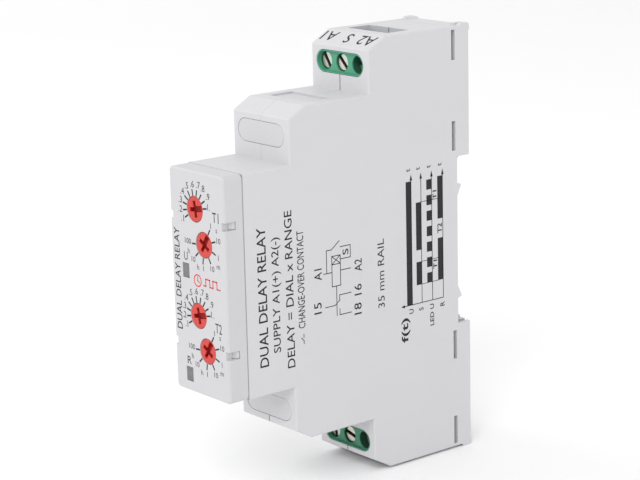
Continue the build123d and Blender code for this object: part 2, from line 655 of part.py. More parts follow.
with BuildPart() as front_board:
    block(
        -FRONT_BOARD_HALF_W, FRONT_BOARD_HALF_W,
        FRONT_BOARD_Y, FRONT_BOARD_Y + FRONT_BOARD_T,
        -FRONT_BOARD_HALF_H, FRONT_BOARD_HALF_H,
    )
    for z in PIN_ROW:
        rod_y(HEADER_X, z, FRONT_BOARD_Y - 1, FRONT_BOARD_Y + FRONT_BOARD_T + 1, 0.5, Mode.SUBTRACT)
save(front_board.part, "front_board")

with BuildPart() as header_pins:
    for z in PIN_ROW:
        block(BOARD_X1, BOARD_X1 + PIN, FRONT_BOARD_Y + 0.1, PIN_END_Y, z - PIN / 2, z + PIN / 2)
save(header_pins.part, "header_pins")

with BuildPart() as header_body:
    block(BOARD_X1, BOARD_X1 + 2.5, FRONT_BOARD_Y + FRONT_BOARD_T, BOARD_FRONT_Y - FIT_GAP, -10.2, 10.2)
    for z in PIN_ROW:
        block(
            BOARD_X1 - 1, BOARD_X1 + PIN, FRONT_BOARD_Y, PIN_END_Y,
            z - PIN / 2, z + PIN / 2, Mode.SUBTRACT,
        )
save(header_body.part, "header_body")

board_points = [
    (BOARD_FRONT_Y, POST_FRONT_Z - POST_R - 1.0),
    (POST_FRONT_Y + POST_R + 1.1, POST_FRONT_Z - POST_R - 1.0),
    (POST_FRONT_Y + POST_R + 1.1, FRONT_HALF - WALL - 1.2),
    (INSERT_Y + INSERT_T + 0.95, FRONT_HALF - WALL - 1.2),
    (INSERT_Y + INSERT_T + 0.95, INSERT_Z - INSERT_T - 1.9),
    (INSERT_END_Y + 0.8, INSERT_Z - INSERT_T - 1.9),
    (INSERT_END_Y + 0.8, BOARD_TOP_Z),
    (BOARD_BACK_Y, BOARD_TOP_Z),
]
with BuildPart() as main_board:
    with BuildSketch(Plane.YZ.offset(BOARD_X0)):
        with BuildLine():
            Polyline(*board_points, *[(y, -z) for y, z in reversed(board_points)], close=True)
        make_face()
    extrude(amount=BOARD_X1 - BOARD_X0)
    for side in (1, -1):
        for end in TAIL_ENDS:
            block(
                BOARD_X0 - 1, BOARD_X1 + 1,
                BAR_Y - BAR_T / 2 - FIT_GAP, BAR_Y + BAR_T / 2 + FIT_GAP,
                side * (end - FIT_GAP), side * (end + TAIL_W + FIT_GAP), Mode.SUBTRACT,
            )
save(main_board.part, "main_board")

# ================================================================ parts on the boards
for name, z in LIGHT_Z.items():
    with BuildPart() as led:
        block(LIGHT_X - 0.8, LIGHT_X + 0.8, FRONT_BOARD_Y - 1.0, FRONT_BOARD_Y, z - 1.0, z + 1.0)
        fillet(led.faces().sort_by(Axis.Y)[0].edges(), 0.2)
    save(led.part, "led_" + name)

with BuildPart() as film_capacitor:
    block(BOARD_X1, BOARD_X1 + 12.0, BAR_Y - 8.3, BAR_Y - 2.3, 3.0, 21.0)
    fillet(film_capacitor.edges().filter_by(Axis.X), 0.6)
save(film_capacitor.part, "film_capacitor")

for name, y, z, radius, height in (
    ("electrolytic_large", BAR_Y - 7.8, -8.0, 4.0, 12.0),
    ("electrolytic_small", BAR_Y - 7.8, -18.0, 3.15, 11.0),
):
    with BuildPart() as can:
        rod_x(y, z, BOARD_X1, BOARD_X1 + height, radius)
        fillet(can.faces().sort_by(Axis.X)[-1].edges(), 0.5)
        with BuildSketch(Plane.YZ.offset(BOARD_X1 + 1.2)):
            with Locations((y, z)):
                Circle(radius + 1)
                Circle(radius - 0.3, mode=Mode.SUBTRACT)
        extrude(amount=0.5, mode=Mode.SUBTRACT)
    save(can.part, name)

VARISTOR_Y = BAR_Y - 14.8
with BuildPart() as varistor:
    rod_z(BOARD_X1 + 4.9, VARISTOR_Y, 14.0, 17.6, 3.5)
    fillet(varistor.edges(), 0.6)
    for y in (VARISTOR_Y - 1.9, VARISTOR_Y + 1.9):
        block(BOARD_X1, BOARD_X1 + 2.0, y - 0.3, y + 0.3, 15.5, 16.1)
save(varistor.part, "varistor")

RECTIFIER_Y = BOARD_FRONT_Y + 10.0
with BuildPart() as rectifier:
    block(BOARD_X1, BOARD_X1 + 3.2, RECTIFIER_Y, RECTIFIER_Y + 6.5, 2.0, 10.4)
    fillet(rectifier.edges().filter_by(Axis.X), 0.4)
save(rectifier.part, "rectifier")

CHIP_Y = BOARD_FRONT_Y + 12.25
CHIP_Z = -7.1
CHIP_LEADS = 10
LEAD_PITCH = 1.27
with BuildPart() as controller:
    block(BOARD_X1 + 0.1, BOARD_X1 + 2.4, CHIP_Y - 3.75, CHIP_Y + 3.75, CHIP_Z - 6.4, CHIP_Z + 6.4)
    for row in (CHIP_Y - 4.35, CHIP_Y + 4.35):
        for i in range(CHIP_LEADS):
            z = CHIP_Z + (i - (CHIP_LEADS - 1) / 2) * LEAD_PITCH
            block(BOARD_X1, BOARD_X1 + 1.0, row - 0.65, row + 0.65, z - 0.2, z + 0.2)
save(controller.part, "controller_chip")

RESISTOR_Y = BOARD_FRONT_Y + 13.0
RESISTOR_Z = -22.75
with BuildPart() as resistor:
    rod_z(BOARD_X1 + 2.4, RESISTOR_Y, RESISTOR_Z - 4.75, RESISTOR_Z + 4.75, 1.9)
    fillet(resistor.edges(), 0.5)
    for side in (1, -1):
        rod_z(BOARD_X1 + 2.4, RESISTOR_Y, RESISTOR_Z + side * 4.7, RESISTOR_Z + side * 6.1, 0.35)
        rod_x(RESISTOR_Y, RESISTOR_Z + side * 5.85, BOARD_X1, BOARD_X1 + 2.5, 0.35)
save(resistor.part, "power_resistor")

# ================================================================ relay
with BuildPart() as relay_base:
    block(BOARD_X1, BOARD_X1 + RELAY_BASE_T, RELAY_Y0, RELAY_Y1, RELAY_Z0, RELAY_Z1)
save(relay_base.part, "relay_base")

with BuildPart() as relay_cover:
    block(BOARD_X1 + RELAY_BASE_T, RELAY_X1, RELAY_Y0, RELAY_Y1, RELAY_Z0, RELAY_Z1)
    fillet(relay_cover.faces().sort_by(Axis.X)[-1].edges(), 0.4)
    block(
        BOARD_X1, RELAY_X1 - RELAY_WALL,
        RELAY_Y0 + RELAY_WALL, RELAY_Y1 - RELAY_WALL,
        RELAY_Z0 + RELAY_WALL, RELAY_Z1 - RELAY_WALL, Mode.SUBTRACT,
    )
save(relay_cover.part, "relay_cover")

with BuildPart() as bobbin:
    for z0, z1 in ((-12.4, -11.6), (1.6, 2.4)):
        block(COIL_X - 3.9, COIL_X + 3.9, RELAY_MID_Y - 3.9, RELAY_MID_Y + 3.9, z0, z1)
    rod_z(COIL_X, RELAY_MID_Y, -12.4, 2.4, 2.3)
    rod_z(COIL_X, RELAY_MID_Y, -13.0, 3.0, 1.6, Mode.SUBTRACT)
save(bobbin.part, "relay_bobbin")

with BuildPart() as winding:
    rod_z(COIL_X, RELAY_MID_Y, -11.6, 1.6, 3.6)
    rod_z(COIL_X, RELAY_MID_Y, -12.0, 2.0, 2.3, Mode.SUBTRACT)
save(winding.part, "relay_winding")

with BuildPart() as core:
    rod_z(COIL_X, RELAY_MID_Y, -12.6, 2.5, 1.55)
    rod_z(COIL_X, RELAY_MID_Y, 2.45, 3.2, 2.6)
save(core.part, "relay_core")

with BuildPart() as yoke:
    block(COIL_X + 4.2, COIL_X + 5.2, RELAY_MID_Y - 3.2, RELAY_MID_Y + 3.2, -13.6, 3.6)
    block(COIL_X - 2.4, COIL_X + 4.3, RELAY_MID_Y - 3.2, RELAY_MID_Y + 3.2, -13.6, -12.6)
save(yoke.part, "relay_yoke")

with BuildPart() as armature:
    block(COIL_X - 2.6, COIL_X + 5.1, RELAY_MID_Y - 3.0, RELAY_MID_Y + 3.0, ARMATURE_PIVOT_Z, 4.8)
    fillet(armature.edges().filter_by(Axis.Z), 0.4)
    # round bearing edge that rocks on top of the yoke
    rod_y(
        COIL_X + 4.7, ARMATURE_PIVOT_Z, RELAY_MID_Y - 2.6, RELAY_MID_Y + 2.6, ARMATURE_PIVOT_R
    )
save(armature.part, "relay_armature")

with BuildPart() as moving_contact:
    block(COIL_X + 2.8, COIL_X + 5.4, RELAY_MID_Y - 1.2, RELAY_MID_Y + 1.2, 4.8, 5.0)
    block(COIL_X + 5.2, COIL_X + 5.4, RELAY_MID_Y - 1.2, RELAY_MID_Y + 1.2, 4.8, 11.6)
    rod_x(RELAY_MID_Y, CONTACT_Z, COIL_X + 4.8, COIL_X + 5.8, CONTACT_R)
save(moving_contact.part, "relay_moving_contact")

with BuildPart() as contact_no:
    block(COIL_X + 3.4, COIL_X + 3.8, RELAY_MID_Y - 1.2, RELAY_MID_Y + 1.2, 9.2, 12.5)
    block(BOARD_X1 + RELAY_BASE_T, COIL_X + 3.8, RELAY_MID_Y - 1.2, RELAY_MID_Y + 1.2, 12.1, 12.5)
    rod_x(RELAY_MID_Y, CONTACT_Z, COIL_X + 3.7, COIL_X + 4.2, CONTACT_R)
save(contact_no.part, "relay_contact_no")

with BuildPart() as contact_nc:
    block(COIL_X + 6.15, COIL_X + 6.45, RELAY_MID_Y - 1.2, RELAY_MID_Y + 1.2, 9.2, 13.2)
    block(BOARD_X1 + RELAY_BASE_T, COIL_X + 6.45, RELAY_MID_Y - 1.2, RELAY_MID_Y + 1.2, 12.9, 13.2)
    rod_x(RELAY_MID_Y, CONTACT_Z, COIL_X + 5.85, COIL_X + 6.2, CONTACT_R)
save(contact_nc.part, "relay_contact_nc")
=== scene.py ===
"""Finishes, printed scales and studio for a rail-mounted dual time relay."""
import math

import bmesh
import bpy
from mathutils import Matrix, Vector


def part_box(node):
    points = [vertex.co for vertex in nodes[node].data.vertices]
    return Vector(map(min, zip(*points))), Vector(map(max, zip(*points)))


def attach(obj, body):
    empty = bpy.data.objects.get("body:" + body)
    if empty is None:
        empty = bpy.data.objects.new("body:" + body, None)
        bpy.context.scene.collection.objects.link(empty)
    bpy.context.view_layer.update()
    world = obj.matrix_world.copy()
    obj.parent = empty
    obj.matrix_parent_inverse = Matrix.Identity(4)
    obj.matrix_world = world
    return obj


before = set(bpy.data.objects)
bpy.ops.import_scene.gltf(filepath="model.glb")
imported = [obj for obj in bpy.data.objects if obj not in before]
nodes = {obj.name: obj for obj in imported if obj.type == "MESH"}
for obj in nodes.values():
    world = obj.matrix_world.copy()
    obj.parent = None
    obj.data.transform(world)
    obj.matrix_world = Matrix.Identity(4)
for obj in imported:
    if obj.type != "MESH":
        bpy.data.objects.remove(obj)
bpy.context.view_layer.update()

MM = 0.001


# ---------------------------------------------------------------- shader arithmetic
class Amount:
    """A value that varies over a surface; arithmetic on it adds Math nodes."""

    def __init__(self, finish, socket):
        self.finish = finish
        self.socket = socket

    def math(self, operation, *terms, **settings):
        settings["operation"] = operation
        return self.finish.node("ShaderNodeMath", settings, dict(enumerate(terms)))

    def __add__(self, other):
        return self.math("ADD", self, other)

    def __radd__(self, other):
        return self.math("ADD", other, self)

    def __sub__(self, other):
        return self.math("SUBTRACT", self, other)

    def __rsub__(self, other):
        return self.math("SUBTRACT", other, self)

    def __mul__(self, other):
        return self.math("MULTIPLY", self, other)

    def __rmul__(self, other):
        return self.math("MULTIPLY", other, self)

    def __truediv__(self, other):
        return self.math("DIVIDE", self, other)

    def __abs__(self):
        return self.math("ABSOLUTE", self)

    def between(self, low, high):
        """0 below low, 1 above high, smooth in between."""
        return self.finish.node(
            "ShaderNodeMapRange",
            {"interpolation_type": "SMOOTHSTEP"},
            {"Value": self, "From Min": low, "From Max": high},
        )

    def band(self, low, high, soft):
        """1 from low to high, fading to 0 over soft on both sides."""
        return self.between(low - soft, low) * (1 - self.between(high, high + soft))

    def clamped(self):
        return self.math("ADD", self, 0.0, use_clamp=True)


class Finish:
    """A surface finish: one Principled shader with its fixed settings."""

    def __init__(self, name, **fixed):
        self.material = bpy.data.materials.new(name)
        self.material.use_nodes = True
        self.tree = self.material.node_tree
        self.tree.nodes.clear()
        self.shader = self.tree.nodes.new("ShaderNodeBsdfPrincipled")
        end = self.tree.nodes.new("ShaderNodeOutputMaterial")
        self.tree.links.new(self.shader.outputs[0], end.inputs["Surface"])
        for label, value in fixed.items():
            self.shader.inputs[label.replace("_", " ")].default_value = value

    def node(self, kind, settings, sockets, output=0):
        """Adds a node: its settings first, then the values or links of its sockets."""
        node = self.tree.nodes.new(kind)
        for name, setting in settings.items():
            setattr(node, name, setting)
        for key, value in sockets.items():
            if isinstance(value, Amount):
                self.tree.links.new(value.socket, node.inputs[key])
            else:
                node.inputs[key].default_value = value
        return Amount(self, node.outputs[output])

    def place(self):
        """Position on the object, in metres, as a vector."""
        return self.node("ShaderNodeTexCoord", {}, {}, "Object")

    def axes(self):
        """Position as three amounts in millimetres."""
        spot = self.node(
            "ShaderNodeVectorMath", {"operation": "SCALE"},
            {0: self.place(), "Scale": 1 / MM},
        )
        return [self.node("ShaderNodeSeparateXYZ", {}, {0: spot}, axis) for axis in range(3)]

    def stretched(self, x, y, z):
        """Position with each axis scaled, for streaks."""
        return self.node(
            "ShaderNodeVectorMath", {"operation": "MULTIPLY"},
            {0: self.place(), 1: (x, y, z)},
        )

    def grain(self, size_mm, detail=2.0, rough=0.5, vector=None):
        """Noise from 0 to 1 with lumps of about size_mm."""
        return self.node(
            "ShaderNodeTexNoise", {},
            {
                "Vector": vector or self.place(), "Scale": 1 / (size_mm * MM),
                "Detail": detail, "Roughness": rough,
            },
        )

    def blend(self, share, first, second):
        """Colour going from first to second as share goes from 0 to 1."""
        first = first if isinstance(first, Amount) else (*first, 1.0)
        second = second if isinstance(second, Amount) else (*second, 1.0)
        return self.node(
            "ShaderNodeMix", {"data_type": "RGBA"}, {0: share, 6: first, 7: second}, 2
        )

    def paint(self, label, value):
        self.tree.links.new(value.socket, self.shader.inputs[label])

    def relief(self, height, depth_mm, strength=1.0):
        """Small surface relief that only the shading shows."""
        bump = self.node(
            "ShaderNodeBump", {},
            {"Height": height, "Distance": depth_mm * MM, "Strength": strength},
        )
        self.paint("Normal", bump)

    def cover(self, *names):
        for name in names:
            for slot in nodes[name].material_slots:
                slot.material = self.material
        return self


def lighter(colour, factor):
    return tuple(min(1.0, c * factor) for c in colour)


# ---------------------------------------------------------------- finishes
SHELL_GREY = (0.604, 0.601, 0.620)
SHADOW_GREY = (0.10, 0.105, 0.10)
REAR_FACE_Y = -23.8
WIRE_WALL_Y = -10.45
CAP_SEAM_Y = -55.9
LOWER_RIMS = ((-44.3, -31.5), (REAR_FACE_Y, -42.6))


def moulded_shell(name, colour, matt=0.46, marks=None):
    """Injection-moulded shell: fine eroded texture, faint flow clouding.

    marks takes the three axes and gives the share of shadow colour."""
    f = Finish(name, IOR=1.5, Specular_IOR_Level=0.45)
    cloud = f.grain(16.0, 3.0, 0.55)
    flow = f.grain(5.0, 2.0, 0.5, f.stretched(1.0, 0.35, 1.6))
    sparks = f.grain(0.22, 3.0, 0.6)
    tone = (cloud - 0.5) * 0.5 + (flow - 0.5) * 0.35 + (sparks - 0.5) * 0.35 + 0.5
    skin = f.blend(tone.clamped(), lighter(colour, 0.965), lighter(colour, 1.03))
    if marks:
        skin = f.blend(marks(*f.axes()).clamped(), skin, SHADOW_GREY)
    f.paint("Base Color", skin)
    f.paint("Roughness", (sparks - 0.5) * 0.14 + (cloud - 0.5) * 0.08 + matt)
    f.relief(sparks, 0.012, 0.55)
    return f


def shell_seam_shade(x, y, z):
    """Painted shade in the parting line on the rear steps, the line faint elsewhere; painted
    shade along the seam against the cap.
    """
    parting = 1 - abs(x).between(0.10, 0.17)
    rear = y.band(REAR_FACE_Y - 0.2, REAR_FACE_Y + 0.2, 0.1) * (1 - abs(z).between(38.0, 39.0))
    wire_wall = y.band(WIRE_WALL_Y - 0.2, WIRE_WALL_Y + 0.1, 0.1)
    lower_rims = sum(
        y.band(face - 0.2, face + 0.2, 0.1) * z.band(rim, rim + 1.1, 0.2)
        for face, rim in LOWER_RIMS
    )
    # Painted shade on the housing where it meets the cap.
    cap_join_shade = y.band(CAP_SEAM_Y - 0.1, CAP_SEAM_Y + 0.1, 0.06)
    return parting * (rear + wire_wall + lower_rims) * 0.75 + cap_join_shade * 0.5


# Painted shade on the cap's rear edge where it meets the housing.
def cap_rim_shade(x, y, z):
    return y.between(CAP_SEAM_Y - 0.16, CAP_SEAM_Y - 0.10) * 0.5


def slot_shadow(x, y, z):
    """The strip that shows through the side slots, darkest towards the front."""
    in_slots = 1 - abs(z).between(44.3, 44.5)
    return abs(x).between(7.2, 7.35) * (1 - y.between(-1.5, -0.3) * 0.55) * in_slots * 0.9


KNOB_FACE_Y = -60.3


def knob_plastic():
    """Glossy red nylon, darker down in the screwdriver cross, where the darkening is painted
    shade.
    """
    f = Finish("red nylon", IOR=1.52, Specular_IOR_Level=0.5, Coat_Roughness=0.2)
    y = f.axes()[1]
    # Painted shade: the red darkens with depth into the screwdriver cross.
    deep = (y - KNOB_FACE_Y).between(0.02, 0.35)
    streak = f.grain(0.9, 3.0, 0.6)
    face = f.blend(streak, (0.545, 0.025, 0.017), (0.615, 0.038, 0.026))
    f.paint("Base Color", f.blend(deep, face, (0.340, 0.004, 0.003)))
    f.paint("Roughness", streak * 0.16 + deep * 0.35 + 0.28)
    f.relief(f.grain(0.3, 2.0), 0.008, 0.5)
    return f


GREEN_FACE_Y = -23.15


def terminal_plastic():
    """Green glass-filled polyamide of the terminal blocks, with painted shade in the screw
    wells and on the lower block.
    """
    f = Finish("green polyamide", IOR=1.53, Specular_IOR_Level=0.4)
    _, y, z = f.axes()
    # Painted shade in the screw wells, darkening with depth behind the face.
    well = (y - GREEN_FACE_Y).between(0.05, 0.5)
    # Painted shade on the lower block, below the middle of the case.
    below = 1 - z.between(-1.0, 1.0)
    cloud = f.grain(3.0, 3.0, 0.6)
    fibre = f.grain(0.35, 4.0, 0.65, f.stretched(1.0, 0.3, 1.0))
    face = f.blend(
        ((cloud - 0.5) * 0.8 + (fibre - 0.5) * 0.7 + 0.5).clamped(),
        (0.050, 0.285, 0.165), (0.082, 0.380, 0.235),
    )
    shade = (well * 0.85 + below * 0.4).clamped()
    f.paint("Base Color", f.blend(shade, face, (0.010, 0.065, 0.032)))
    f.paint("Roughness", fibre * 0.2 + well * 0.2 + 0.28)
    f.relief(fibre, 0.02, 0.5)
    return f


def screw_plating(name, head_y):
    """Warm nickel plate with turning marks, worn bright; dull and dark in the slot, the
    darkening partly oxide and partly painted shade.
    """
    f = Finish(name, Metallic=1.0)
    y = f.axes()[1]
    # The slot colour darkens with depth: painted shade, and oxide on the slot floor.
    deep = (y - head_y).between(0.12, 0.55)
    stain = f.grain(0.9, 4.0, 0.7)
    scuff = f.grain(0.5, 5.0, 0.7, f.stretched(1.0, 0.2, 0.25))
    plate = f.blend(stain, (0.60, 0.575, 0.51), (0.80, 0.78, 0.72))
    f.paint("Base Color", f.blend(deep, plate, (0.10, 0.075, 0.05)))
    f.paint("Roughness", scuff * 0.22 + stain * 0.1 + deep * 0.25 + 0.24)
    f.relief(scuff, 0.02, 0.7)
    return f


def plated_steel(name, colour, dull=0.34):
    """Pressed steel with a thin bright plate and rolling streaks."""
    f = Finish(name, Metallic=1.0)
    rolling = f.grain(0.8, 4.0, 0.65, f.stretched(1.0, 0.15, 1.0))
    spangle = f.grain(1.6, 2.0, 0.5)
    f.paint("Base Color", f.blend(
        ((rolling - 0.5) * 0.9 + (spangle - 0.5) * 0.6 + 0.5).clamped(),
        lighter(colour, 0.78), lighter(colour, 1.12),
    ))
    f.paint("Roughness", rolling * 0.18 + spangle * 0.1 + dull - 0.1)
    f.relief(rolling, 0.015, 0.6)
    return f


def smoked_window():
    """Smoked light pipe: dark and glossy, with a faint haze."""
    f = Finish("smoked light pipe", IOR=1.58, Specular_IOR_Level=0.6)
    haze = f.grain(1.2, 2.0, 0.5)
    f.paint("Base Color", f.blend(haze, (0.095, 0.095, 0.095), (0.165, 0.165, 0.162)))
    f.paint("Roughness", haze * 0.1 + 0.16)
    f.relief(f.grain(0.6, 1.0), 0.006, 0.4)
    return f


TRACK_PITCH = 3.2


def circuit_board():
    """Green solder mask over copper tracks."""
    f = Finish("solder mask", IOR=1.5, Specular_IOR_Level=0.5)
    weave = f.grain(0.5, 2.0, 0.5)
    cell = f.node(
        "ShaderNodeTexVoronoi", {"feature": "DISTANCE_TO_EDGE"},
        {"Vector": f.place(), "Scale": 1 / (TRACK_PITCH * MM), "Randomness": 0.7},
        "Distance",
    )
    track = 1 - cell.between(0.10, 0.14)
    mask = f.blend(weave, (0.012, 0.130, 0.060), (0.020, 0.165, 0.080))
    f.paint("Base Color", f.blend(track, mask, (0.050, 0.290, 0.130)))
    f.paint("Roughness", weave * 0.12 + 0.24)
    f.relief(track, 0.03, 0.6)
    return f


def moulding_compound(name, colour, dull=0.5):
    """Matt epoxy or nylon of the small components."""
    f = Finish(name, IOR=1.5, Specular_IOR_Level=0.45)
    speck = f.grain(0.18, 3.0, 0.7)
    cloud = f.grain(2.5, 2.0, 0.5)
    f.paint("Base Color", f.blend(
        ((speck - 0.5) * 0.9 + (cloud - 0.5) * 0.5 + 0.5).clamped(),
        lighter(colour, 0.75), lighter(colour, 1.25),
    ))
    f.paint("Roughness", speck * 0.16 + dull - 0.08)
    f.relief(speck, 0.015, 0.6)
    return f


STRIPE_PITCH = 8.0


def shrink_sleeve():
    """Dark sleeve of the capacitor cans with a pale stripe down one side."""
    f = Finish("shrink sleeve", IOR=1.5, Specular_IOR_Level=0.5)
    z = f.axes()[2]
    wrinkle = f.grain(1.4, 3.0, 0.6)
    nearest_stripe = z.math("ROUND", z / STRIPE_PITCH) * STRIPE_PITCH
    stripe = 1 - abs(z - nearest_stripe).between(0.6, 0.75)
    sleeve = f.blend(wrinkle, (0.008, 0.010, 0.024), (0.018, 0.022, 0.050))
    f.paint("Base Color", f.blend(stripe, sleeve, (0.55, 0.56, 0.60)))
    f.paint("Roughness", wrinkle * 0.14 + 0.22)
    f.relief(wrinkle, 0.02, 0.4)
    return f


WIRE_PITCH = 0.12


def wound_copper():
    """Enamelled wire laid in close turns around the coil."""
    f = Finish("enamelled copper", Metallic=1.0, Coat_Weight=0.4)
    z = f.axes()[2]
    turn = z.math("SINE", z * (2 * math.pi / WIRE_PITCH))
    lay = f.grain(1.1, 3.0, 0.6)
    f.paint("Base Color", f.blend(lay, (0.52, 0.20, 0.075), (0.78, 0.36, 0.15)))
    f.paint("Roughness", lay * 0.15 + 0.26)
    f.relief(turn * 0.5 + 0.5, 0.05, 0.8)
    return f


def printing_ink(name, colour):
    """Pad-printed ink: thin, dense, with a slightly patchy gloss."""
    f = Finish(name, IOR=1.5, Specular_IOR_Level=0.35)
    patch = f.grain(0.4, 3.0, 0.6)
    f.paint("Base Color", f.blend(patch, lighter(colour, 0.8), lighter(colour, 1.3)))
    f.paint("Roughness", patch * 0.2 + 0.42)
    f.relief(patch, 0.006, 0.4)
    return f


moulded_shell("light grey shell", SHELL_GREY, marks=shell_seam_shade).cover(
    "housing_left", "housing_right"
)
# The front cap's grey is the shell grey darkened to 0.935, painted shade that tones down the
# key light on its front.
moulded_shell("light grey front cap", lighter(SHELL_GREY, 0.935), 0.44, cap_rim_shade).cover(
    "front_cap"
)
moulded_shell("light grey insert", lighter(SHELL_GREY, 0.96), 0.5).cover(
    "blank_insert_top", "blank_insert_bottom"
)
moulded_shell("light grey rail catch", lighter(SHELL_GREY, 0.99), 0.44, slot_shadow).cover(
    "catch_top", "catch_bottom"
)
DIALS = ("t1_fine", "t1_range", "t2_fine", "t2_range")
ENDS = ("top", "bottom")
WAYS = [end + "_" + str(i) for end in ENDS for i in (1, 2, 3)]
knob_plastic().cover(*["knob_" + d for d in DIALS])
terminal_plastic().cover("terminal_block_top", "terminal_block_bottom")
for way in WAYS:
    head_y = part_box("screw_" + way)[0].y / MM
    screw_plating("nickel plate " + way, head_y).cover("screw_" + way)
plated_steel("zinc plated cage", (0.60, 0.60, 0.58)).cover(*["cage_" + w for w in WAYS])
plated_steel("tinned brass", (0.78, 0.68, 0.46), 0.3).cover(
    *["bar_" + w for w in WAYS],
    "relay_moving_contact", "relay_contact_no", "relay_contact_nc",
)
plated_steel("tinned pin", (0.74, 0.74, 0.73), 0.28).cover("header_pins")
plated_steel("soft iron", (0.52, 0.51, 0.50), 0.4).cover(
    "relay_core", "relay_yoke", "relay_armature"
)
smoked_window().cover("window_u", "window_r")
moulding_compound("blue trimmer body", (0.020, 0.060, 0.300)).cover(
    *["trimmer_" + d for d in DIALS]
)
circuit_board().cover("front_board", "main_board")
moulding_compound("black component body", (0.018, 0.018, 0.020)).cover(
    "header_body", "controller_chip", "rectifier", "power_resistor"
)
moulding_compound("clear lamp epoxy", (0.70, 0.70, 0.64), 0.25).cover("led_u", "led_r")
moulding_compound("yellow film box", (0.66, 0.42, 0.030), 0.3).cover("film_capacitor")
shrink_sleeve().cover("electrolytic_large", "electrolytic_small")
moulding_compound("blue varistor coating", (0.012, 0.050, 0.260), 0.3).cover("varistor")
moulding_compound("black relay base", (0.020, 0.020, 0.022)).cover(
    "relay_base", "relay_bobbin"
)
moulding_compound("dark blue relay cover", (0.020, 0.045, 0.130), 0.3).cover("relay_cover")
wound_copper().cover("relay_winding")

BLACK_INK = printing_ink("black ink", (0.010, 0.010, 0.012)).material
RED_INK = printing_ink("red ink", (0.62, 0.035, 0.035)).material


# ---------------------------------------------------------------- printing
INK_SUNK = 0.02
INK_PROUD = 0.012


class Print:
    """Flat marks on one face, built as thin closed slabs.

    right and up are the reading directions on the face, origin a point of the
    face; marks are given in millimetres along those two directions."""

    def __init__(self, name, origin, right, up, ink, slot):
        self.name = name
        self.ink = ink
        self.slot = slot
        self.mesh = bmesh.new()
        right, up = Vector(right).normalized(), Vector(up).normalized()
        out = right.cross(up)
        self.to_face = Matrix.Translation(Vector(origin)) @ Matrix(
            (right, up, out)
        ).transposed().to_4x4()

    def area(self, outline):
        """A filled outline, corners in order."""
        rings = []
        for height in (-INK_SUNK, INK_PROUD):
            rings.append([
                self.mesh.verts.new(self.to_face @ Vector((u, v, height))) for u, v in outline
            ])
        low, high = rings
        count = len(outline)
        self.mesh.faces.new(list(reversed(low)))
        self.mesh.faces.new(high)
        for i in range(count):
            j = (i + 1) % count
            self.mesh.faces.new((low[i], low[j], high[j], high[i]))

    def bar(self, u0, v0, u1, v1):
        self.area([(u0, v0), (u1, v0), (u1, v1), (u0, v1)])

    def line(self, start, end, width):
        """A straight stroke with square ends."""
        start, end = Vector(start), Vector(end)
        along = (end - start).normalized()
        side = Vector((-along.y, along.x)) * width / 2
        self.area([start - side, end - side, end + side, start + side])

    def strokes(self, points, width):
        """Joined strokes; each end runs half a width on, so corners are filled."""
        for a, b in zip(points, points[1:]):
            a, b = Vector(a), Vector(b)
            past = (b - a).normalized() * width / 2
            self.line(a - past, b + past, width)

    def arrow(self, tip, direction, length, width):
        tip, direction = Vector(tip), Vector(direction).normalized()
        side = Vector((-direction.y, direction.x)) * width / 2
        base = tip - direction * length
        self.area([base - side, tip, base + side])

    def ring(self, centre, radius, width, steps=32):
        for i in range(steps):
            a, b = (2 * math.pi * (i + k) / steps for k in (0, 1))
            self.area([
                (centre[0] + r * math.cos(t), centre[1] + r * math.sin(t))
                for r, t in (
                    (radius - width / 2, a), (radius + width / 2, a),
                    (radius + width / 2, b), (radius - width / 2, b),
                )
            ])

    def words(self, body, centre, height, length=None, turn=0.0, weight=0.0):
        """Plain lettering centred on a point. height is a capital's; length, if given,
        is the whole line's; turn is in degrees and weight thickens the strokes."""
        curve = bpy.data.curves.new("lettering", "FONT")
        curve.body = body
        curve.size = height / CAPITAL
        curve.offset = weight
        curve.resolution_u = 3
        curve.extrude = (INK_PROUD + INK_SUNK) / 2
        holder = bpy.data.objects.new("lettering", curve)
        bpy.context.scene.collection.objects.link(holder)
        graph = bpy.context.evaluated_depsgraph_get()
        mesh = bpy.data.meshes.new_from_object(holder.evaluated_get(graph))
        bpy.data.objects.remove(holder)
        xs = [v.co.x for v in mesh.vertices]
        ys = [v.co.y for v in mesh.vertices]
        middle = Vector(((min(xs) + max(xs)) / 2, (min(ys) + max(ys)) / 2, 0))
        stretch = length / (max(xs) - min(xs)) if length else 1.0
        mesh.transform(
            self.to_face
            @ Matrix.Translation((centre[0], centre[1], (INK_PROUD - INK_SUNK) / 2))
            @ Matrix.Rotation(math.radians(turn), 4, "Z")
            @ Matrix.Diagonal((stretch, 1.0, 1.0, 1.0))
            @ Matrix.Translation(-middle)
        )
        self.mesh.from_mesh(mesh)
        bpy.data.meshes.remove(mesh)

    def finish(self, body="housing"):
        bmesh.ops.remove_doubles(self.mesh, verts=self.mesh.verts, dist=0.0005)
        bmesh.ops.recalc_face_normals(self.mesh, faces=self.mesh.faces)
        bmesh.ops.scale(self.mesh, vec=(MM, MM, MM), verts=self.mesh.verts)
        mesh = bpy.data.meshes.new(self.name)
        self.mesh.to_mesh(mesh)
        self.mesh.free()
        mesh.materials.append(self.ink)
        piece = bpy.data.objects.new(self.name, mesh)
        bpy.context.scene.collection.objects.link(piece)
        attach(piece, body)
        return piece


CAPITAL = 0.70

FACE_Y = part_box("front_cap")[0].y / MM
SIDE_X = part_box("housing_right")[1].x / MM


def dial_centre(name):
    low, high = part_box("knob_" + name)
    middle = (low + high) / (2 * MM)
    return middle.x, middle.z


def polar(centre, radius, degrees):
    angle = math.radians(degrees)
    return centre[0] + radius * math.cos(angle), centre[1] + radius * math.sin(angle)


